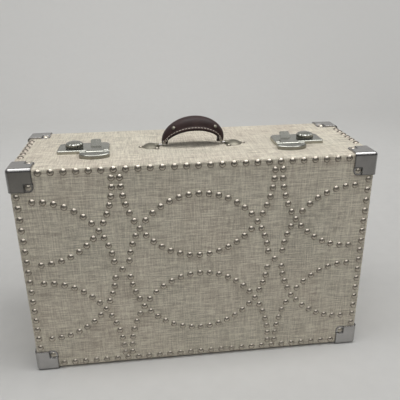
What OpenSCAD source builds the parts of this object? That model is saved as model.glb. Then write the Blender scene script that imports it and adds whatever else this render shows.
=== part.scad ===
// Hard suitcase: two linen covered wooden shells, chrome corner caps, nailhead rings, two latches, a leather handle.
// Millimetres. +X runs along the width, -Y faces the studded front, +Z is up.
// The origin lies under the middle of the case, on the surface that it stands on.

/* [Case] */
// Width of the covered case
case_w = 500; // [470:1:560]
// Height of the covered case, without its corner caps
case_h = 320; // [300:1:360]
// Depth of the closed case, front to back
case_d = 184; // [170:1:230]
// Depth of the front shell, which is the lid
lid_d = 46.6; // [44:0.1:56]
// Gap between the two closed shells
seam_gap = 0.4; // [0.3:0.1:0.8]
// Radius of the long covered edges
edge_r = 3; // [1.5:0.1:4.5]

/* [Shells] */
// Thickness of the wooden boards
board_t = 5; // [4:0.1:7]
// Thickness of the glued linen cover
linen_t = 0.7; // [0.4:0.1:1.2]
// Thickness of the cotton lining
lining_t = 0.6; // [0.4:0.1:1]
// Thickness of the strips that guide the closing lid
lip_t = 2.5; // [1.5:0.1:4]
// Reach of the strips into the lid
lip_out = 6; // [4:0.5:10]
// Length of the strips inside the back shell
lip_in = 14; // [10:0.5:24]
// Room between the strips and the lid's lining edge
lip_room = 2; // [1:0.5:4]

/* [Corner caps] */
// Side of each square leaf
cap_leaf = 31; // [28:0.5:36]
// Height of the raised part of a leaf over the linen
cap_rise = 2.4; // [2.3:0.1:4]
// Radius of the cap's outer edges and corner
cap_r = 5; // [3:0.1:7]
// Width of the low ear at a leaf's inner corner
ear_w = 11.5; // [10:0.5:14]
// Thickness of the ear
ear_t = 0.8; // [0.6:0.1:1]
// Radius of the ear's rounded corner
ear_r = 7; // [5:0.5:8]

/* [Nailheads] */
// Diameter of a nailhead
stud_d = 9.5; // [7:0.1:10]
// Height of a nailhead's dome
stud_h = 2.6; // [1.8:0.1:3.4]
// Diameter of a nailhead's shank
stud_shank_d = 1.6; // [1:0.1:2]
// Length of a nailhead's shank
stud_shank_l = 4.4; // [3:0.1:4.6]
// Spacing along the border rows
stud_pitch = 16.25; // [13:0.05:20]
// Distance of the side columns and the bottom row from the edge
row_inset = 7; // [6:0.1:9]
// Distance of the top row from the edge
top_row_inset = 5.4; // [5:0.1:9]
// Distance of the first and last nailhead of a row from the case's edge
row_end = 38; // [37:0.5:46]
// Half width of a full ring
ring_a = 102; // [90:0.5:112]
// Half height of a full ring
ring_b = 110.5; // [95:0.5:116]
// Distance between the middles of two neighbouring ring columns
ring_pitch = 224; // [210:0.5:240]
// Height of the rings' middle over the middle of the case
ring_lift = 3.3; // [0:0.1:6]
// Half width of the cut rings that run off the top and bottom edges
arc_a = 106.5; // [100:0.5:110]
// Distance from the rings' middle to the crown of a cut ring
arc_gap = 15; // [11:0.5:20]
// Distance of a cut ring's middle from the edge
arc_drop = 17; // [0:0.5:24]
// Nailheads in a quarter of a full ring
ring_quarter = 12; // [9:1:14]
// Nailheads in a quarter of a cut ring
arc_quarter = 13; // [10:1:14]
// Degrees by which a cut ring's nailheads crowd towards its sides
arc_ease = 3.5; // [0:0.1:4]

/* [Lid hinges] */
// Distance of each hinge's middle from the case's middle
hinge_x = 150; // [110:1:180]
// Length of a hinge
hinge_l = 50; // [40:1:70]
// Radius of the knuckles
knuckle_r = 1.9; // [1.7:0.1:2.1]
// Radius of the hinge pins
hinge_pin_r = 0.9; // [0.7:0.05:1]
// Thickness of the leaves
leaf_t = 0.9; // [0.7:0.1:1.1]
// Width of a leaf, from the hinge axis
leaf_w = 19; // [15:0.5:24]

/* [Latches] */
// Distance of the hasp's middle from the case's middle
hasp_x = 140.5; // [120:0.5:150]
// Distance of the knob's middle from the hasp's middle
knob_off = 31; // [30:0.5:34]
// Width of the lock casing
lock_w = 73; // [70:0.5:80]
// Distance from the hasp's middle to the casing's inner end
lock_in = 19; // [17:0.5:22]
// Depth of the lock casing, front to back
lock_d = 40; // [38:0.5:46]
// Distance of the casing's front edge from the seam
lock_set = 13.4; // [12.5:0.1:18]
// Height of the lock casing
lock_h = 5.2; // [5.1:0.1:6]
// Bevel round the top of the casing and the hasp's base
lock_bevel = 1; // [0.4:0.1:1.2]
// Wall thickness of the lock casing
lock_wall = 0.9; // [0.7:0.05:1]
// Diameter of the knob
knob_d = 25; // [22:0.5:27]
// Height of the knob's fluted rim
knob_rim_h = 6; // [4:0.1:8]
// Bevel round the top of the knob's rim
knob_bevel = 1.6; // [0.6:0.1:2]
// Height of the dome on the knob
knob_dome_h = 2.5; // [1:0.1:4]
// Flutes around the knob
knob_flutes = 36; // [20:2:48]
// Radius of the crank pin's circle under the knob
crank_r = 5; // [4.5:0.1:5.2]
// Width of the hasp's front base
base_w = 41.5; // [38:0.5:46]
// Depth of the hasp's front base
base_d = 15; // [13:0.5:18]
// Depth of the bow in the base's front edge
base_bow = 8.3; // [6:0.1:10]
// Height of the hasp's front base
base_h = 6; // [5:0.1:7]
// Radius of the hasp's barrel
barrel_r = 2.6; // [2.4:0.1:2.8]
// Radius of the hasp's pin
hasp_pin_r = 1; // [0.8:0.05:1.2]
// Width of the hasp's tongue at the barrel
tongue_w = 24; // [20:0.5:26]
// Width of the finger tab
tab_w = 15; // [12:0.5:18]
// Length of the finger tab
tab_l = 14.5; // [10:0.5:18]
// Angle of the finger tab over the tongue
tab_tilt = 27; // [10:1:40]
// Thickness of the tongue and tab
tongue_t = 1.6; // [1.2:0.1:2]

/* [Handle] */
// Distance of the handle's middle from the case's front
handle_set = 82; // [78:0.5:92]
// Distance of each plate's middle from the case's middle
plate_x = 61.5; // [58:0.5:70]
// Radius of the domed plate
plate_r = 13; // [12:0.5:16]
// Height of the domed plate
plate_h = 5.4; // [5.2:0.1:6.5]
// Radius of the loops' pivot shafts
shaft_r = 1.4; // [1.2:0.05:1.5]
// Half width of the handle's arch, along its middle line
arch_a = 42; // [38:0.5:44]
// Height of the arch's middle line over its feet
arch_b = 24; // [23.5:0.5:36]
// Width of the leather at the crown
grip_w = 32; // [22:0.5:34]
// Width that the leather tapers towards at its feet
grip_end_w = 5; // [4:0.5:5]
// Rise of the padded top over the middle line at the crown
grip_top = 17; // [8:0.5:19]
// Thickness of the underside strap
strap_t = 2.4; // [1.6:0.1:3]

/* [Hidden] */
$fn = 64;
eps = 0.01;
x_side = case_w / 2;
y_front = -case_d / 2;
y_back = case_d / 2;
z_low = cap_rise;
z_top = z_low + case_h;
seam_y = y_front + lid_d;
body_rim = seam_y + seam_gap / 2;
lid_rim = seam_y - seam_gap / 2;
skin = linen_t + board_t;
lined = skin + lining_t;
rivet_d = 2;
rivet_fit = 0.05;
rivet_depth = skin - 1;
running_fit = 0.06;
seat_fit = 0.03;

// Hinges on the bottom of the seam
hinge_knuckles = 5;
knuckle_gap = 0.3;
knuckle_cut = knuckle_r + 0.3;
notch_r = knuckle_r + 0.5;
notch_end = 1;
leaf_rivets = 3;
leaf_rivet_d = 4.4;
leaf_rivet_h = 0.8;

// Corner cap rivets
cap_rivet_at = cap_leaf - ear_r + 0.5;
cap_rivet_d = 8.6;
cap_rivet_h = 2.3;
foot_rivet_h = 1.4;

// Latch, with heights counted from the linen on top of the case
lock_x0 = hasp_x - lock_in;
lock_y0 = seam_y + lock_set;
lock_y1 = lock_y0 + lock_d;
knob_x = hasp_x + knob_off;
knob_y = lock_y0 + lock_d / 2;
lock_r_front = 2.5;
lock_r_back = 9;
lock_plate_t = 0.6;
lock_plate_gap = 0.1;
lock_boss_r = 2.4;
lock_boss_in = 5.2;
lock_ceiling = lock_h - lock_wall;
spindle_r = 3;
journal_r = 2;
cam_r = 7;
cam_t = 0.8;
cam_z = lock_ceiling - 0.2 - cam_t;
bolt_t = 1.5;
bolt_z = cam_z - 0.2 - bolt_t;
crank_pin_r = 1.2;
crank_x = crank_r * sin(45);
bolt_throw = 2 * crank_x;
bolt_slot_w = 2 * crank_pin_r + 0.5;
bolt_y0 = knob_y - crank_r - 10;
bolt_y1 = knob_y - journal_r - 0.5;
nose_d = 6;
staple_t = 2.5;
staple_wall = 2;
staple_play = 0.4;
staple_room = 0.9;
staple_foot = 0.9;
staple_y0 = bolt_y0 - staple_play - staple_wall;
staple_y1 = bolt_y0 + nose_d + staple_play + staple_wall;
slot_y1 = staple_y1 + 0.7;
bolt_tip_x = hasp_x + staple_t / 2 + 1.3;
bolt_end_x = knob_x + crank_x + 11;
guide_t = 1;
knob_gap = 0.3;
flute_r = 0.75;

// Hasp
hasp_gap = 0.4;
tongue_z = lock_h + hasp_gap;
hasp_axis_y = seam_y + barrel_r + 0.2;
barrel_swell = 0.2;
hasp_axis_z = tongue_z + tongue_t + barrel_swell - barrel_r;
base_y1 = seam_y - 0.9;
base_y0 = base_y1 - base_d;
base_wall = 1;
base_boss_r = 2.2;
barrel_gap = 0.4;
tongue_y1 = lock_y0 + 12;
tab_y0 = tongue_y1 + 1.5;
tab_r = 3;
tongue_taper = 5.5;
bow_r = (pow(base_w / 2, 2) + pow(base_bow, 2)) / (2 * base_bow);

// Handle
handle_y = y_front + handle_set;
shaft_z = 2.2;
tunnel_r = 3;
tunnel_in = 1;
tunnel_l = 8;
plate_t = 1;
lug_r = 3.5;
lug_t = 0.9;
lug_reach = plate_r + 1.9;
lug_rivet_d = 4.6;
lug_rivet_h = 1.5;
shaft_head_r = 1.85;
shaft_head_l = 1.5;
loop_r = 1.2;
loop_x = arch_a + 2;
loop_half = 4.6;
loop_z = 6.2;
arch_base = shaft_z + 0.9;
arch_start = 3;
arch_rings = 40;
section_half = 8;

// Colours
linen_c = [0.72, 0.68, 0.60];
lining_c = [0.86, 0.82, 0.74];
board_c = [0.72, 0.56, 0.38];
chrome_c = [0.74, 0.75, 0.76];
nickel_c = [0.70, 0.68, 0.63];
leather_c = [0.20, 0.09, 0.09];

// Shared shapes

// Rectangle with round corners, about its middle
module round_rect(w, h, r) {
    square([w, h - 2 * r], center = true);
    square([w - 2 * r, h], center = true);
    for (sx = [-1, 1], sy = [-1, 1])
        translate([sx * (w / 2 - r), sy * (h / 2 - r)]) circle(r);
}

// Block with the outline of the case, inset on its four long sides, between two depths
module case_block(inset, ya, yb) {
    r = edge_r - inset;
    translate([0, max(ya, yb), z_low + case_h / 2])
        rotate([90, 0, 0])
            linear_extrude(abs(yb - ya))
                if (r > 0.2)
                    round_rect(case_w - 2 * inset, case_h - 2 * inset, r);
                else
                    square([case_w - 2 * inset, case_h - 2 * inset], center = true);
}

// Box between two corners
module box(p, q) {
    translate(p) cube(q - p);
}

// Domed head that stands on z = 0, with a shank below it
module rivet(head_d, head_h, shank_d, shank_l) {
    dome_r = (pow(head_d / 2, 2) + pow(head_h, 2)) / (2 * head_h);
    rotate_extrude() {
        intersection() {
            translate([0, head_h - dome_r]) circle(dome_r);
            square([head_d / 2, head_h]);
        }
        translate([0, -shank_l]) square([shank_d / 2, shank_l + eps]);
    }
}

// Round bar between two points
module bar(p, q, r) {
    d = q - p;
    l = norm(d);
    translate(p)
        rotate([0, acos(d[2] / l), atan2(d[1], d[0])])
            cylinder(r = r, h = l);
}

// Puts the right hand latch or plate on either side
module on_side(s) {
    mirror([s < 0 ? 1 : 0, 0, 0]) children();
}

// Puts a piece that is modelled at the lower front left corner on any corner
module on_corner(sx, sy, sz) {
    translate([sx * x_side, sy * case_d / 2, sz < 0 ? z_low : z_top])
        mirror([sx > 0 ? 1 : 0, 0, 0])
            mirror([0, sy > 0 ? 1 : 0, 0])
                mirror([0, 0, sz > 0 ? 1 : 0])
                    children();
}

// Shells: each is open at its rim and closed at its face

// Outline of a given half width and depth, with its two far corners rounded
module end_outline(half, depth, r) {
    translate([-half, 0]) square([2 * half, depth - r]);
    translate([r - half, 0]) square([2 * (half - r), depth]);
    for (u = [-1, 1]) translate([u * (half - r), depth - r]) circle(r);
}

// Block of the case whose edges are rounded along its face
module faced_block(inset, rim, face) {
    r = edge_r - inset;
    d = abs(face - rim);
    flip = face < rim ? 1 : 0;
    intersection() {
        case_block(inset, rim, face);
        translate([0, rim, z_low - 1])
            linear_extrude(case_h + 2)
                mirror([0, flip]) end_outline(x_side - inset, d, r);
        translate([-x_side - 1, rim, z_low + case_h / 2])
            rotate([90, 0, 90])
                linear_extrude(case_w + 2)
                    mirror([flip, 0]) rotate(-90) end_outline(case_h / 2 - inset, d, r);
    }
}

module shell_linen(rim, face) {
    s = sign(face - rim);
    difference() {
        faced_block(0, rim, face);
        faced_block(linen_t, rim + s * linen_t, face - s * linen_t);
        case_block(skin, rim - s, rim + 2 * s * linen_t);
        hinge_notches();
    }
}

module shell_lining(start, face) {
    s = sign(face - start);
    difference() {
        case_block(skin, start, face - s * skin);
        case_block(lined, start - s, face - s * lined);
    }
}

module face_board(face) {
    s = sign(face);
    faced_block(linen_t, face - s * skin, face - s * linen_t);
}

// Space of the four wall boards of a shell
module wall_block(rim, face) {
    s = sign(face - rim);
    case_block(linen_t, rim + s * linen_t, face - s * skin);
}

module top_board(rim, face) {
    intersection() {
        wall_block(rim, face);
        box([-x_side, y_front, z_top - skin], [x_side, y_back, z_top]);
    }
}

module bottom_board(rim, face) {
    difference() {
        intersection() {
            wall_block(rim, face);
            box([-x_side, y_front, z_low], [x_side, y_back, z_low + skin]);
        }
        hinge_notches();
    }
}

module side_boards(rim, face) {
    s = sign(face - rim);
    y0 = min(rim + s * linen_t, face - s * skin);
    y1 = max(rim + s * linen_t, face - s * skin);
    for (sx = [-1, 1])
        on_side(sx)
            box([x_side - skin, y0, z_low + skin], [x_side - linen_t, y1, z_top - skin]);
}

module closing_lip() {
    y0 = body_rim - lip_out;
    y1 = body_rim + lip_in;
    x_out = x_side - lined;
    color(board_c) {
        for (z = [z_low + lined, z_top - lined - lip_t])
            box([-x_out, y0, z], [x_out, y1, z + lip_t]);
        for (sx = [-1, 1])
            on_side(sx)
                box([x_out - lip_t, y0, z_low + lined + lip_t], [x_out, y1, z_top - lined - lip_t]);
    }
}

// Room for the hinge knuckles in both shells
module hinge_notches() {
    for (sx = [-1, 1])
        translate([sx * hinge_x - hinge_l / 2 - notch_end, seam_y - notch_r, z_low - 1])
            cube([hinge_l + 2 * notch_end, 2 * notch_r, notch_r + 1]);
}

// Corner caps

// Ear with one round corner, in the plane of its leaf
module ear_outline() {
    inner = cap_leaf - ear_w - 0.5;
    translate([cap_rivet_at, cap_rivet_at]) circle(ear_r);
    translate([inner, inner]) square([cap_rivet_at - inner, cap_rivet_at + ear_r - inner]);
    translate([inner, inner]) square([cap_rivet_at + ear_r - inner, cap_rivet_at - inner]);
}

// Block that is rounded along three edges and at the corner where they meet
module cap_block() {
    c = cap_r - cap_rise;
    l = cap_leaf;
    translate([c, c, c]) sphere(cap_r);
    for (k = [0:2])
        rotate(120 * k, [1, 1, 1]) {
            translate([c, c, c]) cylinder(r = cap_r, h = l - c);
            box([c, c, -cap_rise], [l, l, l]);
        }
}

module corner_cap() {
    difference() {
        cap_block();
        cube(cap_leaf + 1);
        for (k = [0:2])
            rotate(120 * k, [1, 1, 1])
                box([cap_leaf - ear_w, cap_leaf - ear_w, -cap_rise - 1], [cap_leaf + 1, cap_leaf + 1, eps]);
    }
    for (k = [0:2])
        rotate(120 * k, [1, 1, 1])
            difference() {
                translate([0, 0, -ear_t]) linear_extrude(ear_t) ear_outline();
                translate([cap_rivet_at, cap_rivet_at, -ear_t - 1])
                    cylinder(d = rivet_d + 2 * rivet_fit, h = ear_t + 2);
            }
}

// Rivets of one cap, flatter underneath the case so that it stands on the raised leaves
module cap_rivet_set(sz) {
    for (k = [0:2])
        rotate(120 * k, [1, 1, 1])
            translate([cap_rivet_at, cap_rivet_at, -ear_t])
                rotate([180, 0, 0])
                    rivet(cap_rivet_d, sz < 0 && k == 0 ? foot_rivet_h : cap_rivet_h, rivet_d, ear_t + rivet_depth);
}

module four_caps(sy) {
    for (sx = [-1, 1], sz = [-1, 1])
        on_corner(sx, sy, sz) corner_cap();
}

module four_rivet_sets(sy) {
    for (sx = [-1, 1], sz = [-1, 1])
        on_corner(sx, sy, sz) cap_rivet_set(sz);
}

// Nailheads

module stud() {
    rivet(stud_d, stud_h, stud_shank_d, stud_shank_l);
}

// Nailheads on an upright face, at points [x, height over the middle]
module studs_on_face(points, face) {
    for (p = points)
        translate([p[0], face, z_low + case_h / 2 + p[1]])
            rotate([face < 0 ? 90 : -90, 0, 0])
                stud();
}

// Evenly spaced places along a span, about its middle
function row_places(span) =
    let (n = floor(span / stud_pitch + eps))
    [for (i = [0:n]) (i - n / 2) * stud_pitch];

function border_points() = concat(
    [for (x = row_places(case_w - 2 * row_end)) [x, case_h / 2 - top_row_inset]],
    [for (x = row_places(case_w - 2 * row_end)) [x, row_inset - case_h / 2]],
    [for (s = [-1, 1], z = row_places(case_h - 2 * row_end)) [s * (x_side - row_inset), z]]
);

// Angles of a full ring's nailheads: closer together up to the crossing, which is the fifth of twelve
ring_cross = round(ring_quarter * 5 / 12);
ring_cross_at = 34.8;
function ring_angle(k) =
    k <= ring_cross
    ? k * ring_cross_at / ring_cross
    : ring_cross_at + (k - ring_cross) * (90 - ring_cross_at) / (ring_quarter - ring_cross);

// Full ring without its two outermost nailheads
function ring_points(cx) = [
    for (sx = [-1, 1], sz = [-1, 1], k = [1:ring_quarter])
        if (!(sx < 0 && k == ring_quarter))
            [cx + sx * ring_a * cos(ring_angle(k)), ring_lift + sz * ring_b * sin(ring_angle(k))]
];

// Ring that runs off the top edge (s = 1) or the bottom edge (s = -1)
function arc_points(cx, s) =
    let (b = case_h / 2 - s * ring_lift - arc_gap - arc_drop)
    [for (k = [-2:2 * arc_quarter + 2])
        let (u = k * 90 / arc_quarter, a = u - arc_ease * sin(2 * u))
        [cx + arc_a * cos(a), s * (case_h / 2 - arc_drop - b * sin(a))]];

function gap_to(p, list) = min([for (q = list) norm(p - q)]);

// Points that lie on the face inside the border and clear of the ones already set
function free_points(points, taken) = [
    for (p = points)
        if (abs(p[0]) < x_side - row_inset - stud_d
            && abs(p[1]) < case_h / 2 - row_inset - stud_d
            && gap_to(p, taken) > stud_d + 0.2) p
];

// One nailhead is shared where two rings nearly touch
touch_points = [for (s = [-1, 1]) [s * ring_pitch / 2, ring_lift]];
arcs = [for (c = [-1, 0, 1], s = [-1, 1]) each arc_points(c * ring_pitch, s)];
rings = [for (c = [-1, 0, 1]) each ring_points(c * ring_pitch)];
borders = border_points();
free_arcs = free_points(arcs, borders);
free_rings = free_points(rings, concat(borders, touch_points, free_arcs));

// Nailheads on top of the case, along its short edges, at a list of depths
module studs_on_top(depths) {
    for (sx = [-1, 1], y = depths)
        translate([sx * (x_side - row_inset), y, z_top]) stud();
}

top_first_y = body_rim + stud_d / 2 + 3.7;
top_last_y = y_back - cap_leaf - stud_d / 2 - 3;
top_count = floor((top_last_y - top_first_y) / stud_pitch);

// Lid hinges

// Knuckles and leaf on one side of the pin: s = 1 for the back shell, s = -1 for the lid
module hinge_leaf(s) {
    pitch = hinge_l / hinge_knuckles;
    bore_r = hinge_pin_r + (s > 0 ? seat_fit : running_fit);
    difference() {
        union() {
            for (i = [s > 0 ? 0 : 1 : 2 : hinge_knuckles - 1])
                translate([i * pitch - hinge_l / 2 + knuckle_gap / 2, 0, 0]) {
                    rotate([0, 90, 0]) cylinder(r = knuckle_r, h = pitch - knuckle_gap);
                    box([0, min(0, s * leaf_w / 2), -leaf_t], [pitch - knuckle_gap, max(0, s * leaf_w / 2), 0]);
                }
            box([-hinge_l / 2, min(s * knuckle_cut, s * leaf_w), -leaf_t],
                [hinge_l / 2, max(s * knuckle_cut, s * leaf_w), 0]);
        }
        translate([-hinge_l, 0, 0]) rotate([0, 90, 0]) cylinder(r = bore_r, h = 2 * hinge_l);
        leaf_rivet_places(s)
            translate([0, 0, -leaf_t - 1]) cylinder(d = rivet_d + 2 * rivet_fit, h = leaf_t + 2);
    }
}

module leaf_rivet_places(s) {
    for (i = [0:leaf_rivets - 1])
        translate([(i - (leaf_rivets - 1) / 2) * hinge_l * 0.36, s * leaf_w * 0.62, 0])
            children();
}

module leaf_rivet_set(s) {
    leaf_rivet_places(s)
        translate([0, 0, -leaf_t])
            rotate([180, 0, 0])
                rivet(leaf_rivet_d, leaf_rivet_h, rivet_d, leaf_t + rivet_depth);
}

module at_hinges() {
    for (sx = [-1, 1])
        translate([sx * hinge_x, seam_y, z_low]) children();
}

// Latches, right hand side

// Plate with tight front corners and rounder back corners, inset all round
module lock_outline(inset) {
    w = lock_w - 2 * inset;
    d = lock_d - 2 * inset;
    rf = max(lock_r_front - inset, 0.5);
    rb = lock_r_back - inset;
    translate([lock_x0 + inset, lock_y0 + inset]) {
        translate([0, rf]) square([w, d - rf - rb]);
        translate([rf, 0]) square([w - 2 * rf, d - rb]);
        translate([rb, rf]) square([w - 2 * rb, d - rf]);
        for (x = [rf, w - rf]) translate([x, rf]) circle(rf);
        for (x = [rb, w - rb]) translate([x, d - rb]) circle(rb);
    }
}

module lock_boss_places() {
    for (x = [lock_x0 + lock_boss_in, lock_x0 + lock_w - lock_boss_in])
        for (y = [lock_y0 + lock_boss_in, lock_y1 - lock_boss_in])
            translate([x, y, z_top]) children();
}

// Slot that lets the hasp's staple in from above and out to the front
module staple_slot(z0, z1) {
    half = staple_t / 2 + staple_room;
    box([hasp_x - half, lock_y0 - 1, z_top + z0], [hasp_x + half, slot_y1, z_top + z1]);
}

module lock_casing() {
    difference() {
        translate([0, 0, z_top])
            hull() {
                linear_extrude(lock_h - lock_bevel) lock_outline(0, $fn = 32);
                linear_extrude(lock_h) lock_outline(lock_bevel, $fn = 32);
            }
        translate([0, 0, z_top - 1]) linear_extrude(lock_ceiling + 1) lock_outline(lock_wall);
        translate([knob_x, knob_y, z_top]) cylinder(r = spindle_r + running_fit, h = lock_h + 1);
        staple_slot(-1, lock_h + 1);
    }
    lock_boss_places()
        difference() {
            translate([0, 0, lock_plate_t]) cylinder(r = lock_boss_r, h = lock_ceiling - lock_plate_t + eps);
            translate([0, 0, -1]) cylinder(d = rivet_d + 2 * rivet_fit, h = lock_ceiling + 0.5);
        }
}

module lock_base_plate() {
    difference() {
        union() {
            translate([0, 0, z_top]) linear_extrude(lock_plate_t) lock_outline(lock_wall + lock_plate_gap);
            bolt_guides();
        }
        translate([knob_x, knob_y, z_top - 1]) cylinder(r = journal_r + running_fit, h = lock_plate_t + 2);
        staple_slot(-1, lock_h);
        lock_boss_places()
            translate([0, 0, -1]) cylinder(d = rivet_d + 2 * rivet_fit, h = lock_plate_t + 2);
    }
}

// Ribs that the bolt slides between and the pad that carries it
module bolt_guides() {
    top = bolt_z + bolt_t;
    front_y = bolt_y0 - running_fit;
    back_y = bolt_y1 + running_fit;
    box([bolt_tip_x + 3, front_y - guide_t, z_top],
        [bolt_end_x - bolt_throw - 1, bolt_y0 + nose_d, z_top + bolt_z - running_fit]);
    box([bolt_tip_x + 3, front_y - guide_t, z_top], [bolt_end_x, front_y, z_top + top]);
    box([bolt_tip_x + 9, back_y, z_top], [knob_x - cam_r - 1, back_y + guide_t, z_top + top]);
}

module lock_rivet_set() {
    head_z = z_top - lined;
    lock_boss_places()
        translate([0, 0, head_z - z_top])
            rotate([180, 0, 0])
                rivet(leaf_rivet_d + 1, leaf_rivet_h + 0.6, rivet_d, lined + lock_ceiling - 1.5);
}

module lock_knob() {
    r = knob_d / 2;
    dome_a = r - knob_bevel - 0.2;
    rim = [[0, 0], [r, 0], [r, knob_rim_h - knob_bevel], [r - knob_bevel, knob_rim_h], [0, knob_rim_h]];
    dome_r = (pow(dome_a, 2) + pow(knob_dome_h, 2)) / (2 * knob_dome_h);
    translate([knob_x, knob_y, z_top]) {
        difference() {
            translate([0, 0, lock_h + knob_gap])
                rotate_extrude() {
                    polygon(rim);
                    intersection() {
                        translate([0, knob_rim_h + knob_dome_h - dome_r]) circle(dome_r);
                        translate([0, knob_rim_h - eps]) square([dome_a, knob_dome_h + 1]);
                    }
                }
            for (i = [0:knob_flutes - 1])
                rotate(i * 360 / knob_flutes)
                    translate([r + flute_r * 0.2, 0, lock_h])
                        cylinder(r = flute_r, h = knob_rim_h + 1);
        }
        translate([0, 0, cam_z + cam_t]) cylinder(r = spindle_r, h = lock_h + knob_gap - cam_z - cam_t + eps);
        translate([0, 0, 0.1]) cylinder(r = journal_r, h = cam_z + cam_t);
    }
}

// Crank disc on the spindle, its pin turned 45 degrees out from the front
module lock_cam() {
    translate([knob_x, knob_y, z_top]) {
        difference() {
            translate([0, 0, cam_z]) cylinder(r = cam_r, h = cam_t);
            cylinder(r = journal_r + seat_fit, h = lock_h);
        }
        translate([crank_x, -crank_x, bolt_z + 0.1]) cylinder(r = crank_pin_r, h = cam_z - bolt_z);
    }
}

module lock_bolt() {
    slot_x = knob_x + crank_x;
    difference() {
        union() {
            box([bolt_tip_x, bolt_y0, z_top + bolt_z], [knob_x, bolt_y0 + nose_d, z_top + bolt_z + bolt_t]);
            box([knob_x - cam_r - 4, bolt_y0, z_top + bolt_z], [bolt_end_x, bolt_y1, z_top + bolt_z + bolt_t]);
        }
        box([slot_x - bolt_slot_w / 2, knob_y - crank_r - crank_pin_r - 0.4, z_top],
            [slot_x + bolt_slot_w / 2, knob_y, z_top + lock_h]);
    }
}

// Hasp and its base on the lid, right hand side

module base_outline(inset) {
    w = base_w - 2 * inset;
    intersection() {
        translate([hasp_x, base_y0 + bow_r]) circle(bow_r - inset, $fn = 96);
        translate([hasp_x - w / 2, base_y0]) square([w, base_d - inset]);
    }
}

module base_boss_places() {
    for (s = [-1, 1])
        translate([hasp_x + s * base_w * 0.26, base_y1 - base_d * 0.6, z_top]) children();
}

// Bowed front cover with an ear and bore for the pin at each end
module hasp_base() {
    ear_x0 = tongue_w / 2 + barrel_gap;
    difference() {
        union() {
            translate([0, 0, z_top])
                hull() {
                    linear_extrude(base_h - lock_bevel) base_outline(0);
                    linear_extrude(base_h) base_outline(lock_bevel);
                }
            for (s = [-1, 1])
                translate([hasp_x, 0, z_top])
                    on_side(s) {
                        box([ear_x0, base_y1 - 1, hasp_axis_z - barrel_r],
                            [base_w / 2, hasp_axis_y, hasp_axis_z + barrel_r * 0.5]);
                        translate([ear_x0, hasp_axis_y, hasp_axis_z])
                            rotate([0, 90, 0])
                                cylinder(r = barrel_r, h = base_w / 2 - ear_x0);
                    }
        }
        translate([0, 0, z_top - 1]) linear_extrude(base_h - base_wall + 1) base_outline(base_wall);
        translate([hasp_x - base_w, hasp_axis_y, z_top + hasp_axis_z])
            rotate([0, 90, 0])
                cylinder(r = hasp_pin_r + seat_fit, h = 2 * base_w);
    }
    base_boss_places()
        difference() {
            cylinder(r = base_boss_r, h = base_h - base_wall + eps);
            translate([0, 0, -1]) cylinder(d = rivet_d + 2 * rivet_fit, h = base_h - base_wall);
        }
}

module hasp_base_rivet_set() {
    base_boss_places()
        translate([0, 0, -lined])
            rotate([180, 0, 0])
                rivet(leaf_rivet_d + 1, leaf_rivet_h + 0.6, rivet_d, lined + base_h - base_wall - 1.5);
}

module hasp_pin() {
    translate([hasp_x - base_w / 2, hasp_axis_y, z_top + hasp_axis_z])
        rotate([0, 90, 0])
            cylinder(r = hasp_pin_r, h = base_w);
}

// Tongue that narrows to the finger tab, seen from above
module hasp_outline() {
    half = tongue_w / 2;
    end_y = tab_y0 + tab_l * cos(tab_tilt);
    polygon([
        [-half, hasp_axis_y], [half, hasp_axis_y], [half, tongue_y1 - tongue_taper],
        [tab_w / 2, tongue_y1], [tab_w / 2, end_y - tab_r], [-tab_w / 2, end_y - tab_r],
        [-tab_w / 2, tongue_y1], [-half, tongue_y1 - tongue_taper]
    ]);
    translate([tab_r - tab_w / 2, tongue_y1]) square([tab_w - 2 * tab_r, end_y - tongue_y1]);
    for (s = [-1, 1]) translate([s * (tab_w / 2 - tab_r), end_y - tab_r]) circle(tab_r);
}

// Bent sheet of the tongue and tab, seen from the side: depth along x, height along y
module hasp_profile() {
    reach = [cos(tab_tilt), sin(tab_tilt)] * (tab_l + 1);
    over = [-sin(tab_tilt), cos(tab_tilt)] * tongue_t;
    bend = tongue_t * tan(tab_tilt / 2);
    polygon([
        [hasp_axis_y, tongue_z], [tab_y0, tongue_z], [tab_y0, tongue_z] + reach,
        [tab_y0, tongue_z] + reach + over, [tab_y0 - bend, tongue_z + tongue_t],
        [hasp_axis_y, tongue_z + tongue_t]
    ]);
}

module hasp() {
    translate([hasp_x, 0, z_top]) {
        difference() {
            union() {
                intersection() {
                    linear_extrude(tongue_z + tongue_t + tab_l) hasp_outline();
                    translate([-tongue_w, 0, 0])
                        rotate([90, 0, 90])
                            linear_extrude(2 * tongue_w) hasp_profile();
                }
                translate([-tongue_w / 2, hasp_axis_y, hasp_axis_z])
                    rotate([0, 90, 0])
                        cylinder(r = barrel_r, h = tongue_w);
            }
            translate([-tongue_w, hasp_axis_y, hasp_axis_z])
                rotate([0, 90, 0])
                    cylinder(r = hasp_pin_r + running_fit, h = 2 * tongue_w);
        }
        difference() {
            box([-staple_t / 2, staple_y0, bolt_z - staple_play - staple_foot],
                [staple_t / 2, staple_y1, tongue_z + tongue_t / 2]);
            box([-staple_t, staple_y0 + staple_wall, bolt_z - staple_play],
                [staple_t, staple_y1 - staple_wall, bolt_z + bolt_t + staple_play]);
        }
    }
}

// Handle plates, right hand side

plate_dome_r = (pow(plate_r, 2) + pow(plate_h, 2)) / (2 * plate_h);

module lug_places() {
    for (a = [0, -125, 125])
        translate([plate_x, handle_y, z_top])
            rotate(a)
                translate([lug_reach, 0, 0])
                    children();
}

module plate_dome(inset) {
    intersection() {
        translate([plate_x, handle_y, z_top + plate_h - plate_dome_r]) sphere(plate_dome_r - inset, $fn = 128);
        translate([plate_x, handle_y, z_top]) cylinder(r = plate_r + 1, h = plate_h + 1);
    }
}

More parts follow.
